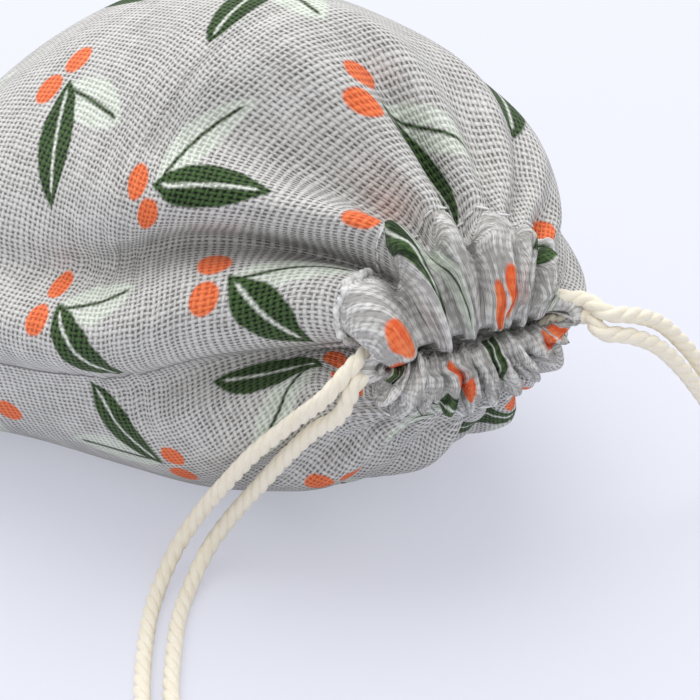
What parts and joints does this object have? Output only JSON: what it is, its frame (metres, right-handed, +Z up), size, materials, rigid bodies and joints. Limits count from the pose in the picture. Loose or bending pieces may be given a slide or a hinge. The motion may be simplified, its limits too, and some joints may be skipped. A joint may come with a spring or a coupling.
{
  "type": "kinchaku drawstring pouch",
  "caption": "Small filled pouch of printed cotton-linen cloth, gathered shut by twisted cords that end in knots, lying on its side.",
  "frame": {"origin": "under the middle of the filled bag, on the surface that it rests on", "axes": "+X from the bottom seam towards the gathered mouth, -Y towards the near side seam, +Z up"},
  "size_m": [0.1738, 0.1843, 0.0845],
  "materials": {
    "cloth": "open plain-weave cotton-linen, light grey, with a green, pale and orange print",
    "cord": "three-ply twisted cotton cord, cream"
  },
  "bodies": {
    "root": {"pouch_cloth": "cloth", "left_drawcord_loop": "cord", "left_strand_a": "cord", "left_strand_b": "cord", "left_knot": "cord", "right_drawcord_loop": "cord", "right_strand_a": "cord", "right_strand_b": "cord", "right_knot": "cord"}
  },
  "joints": []
}
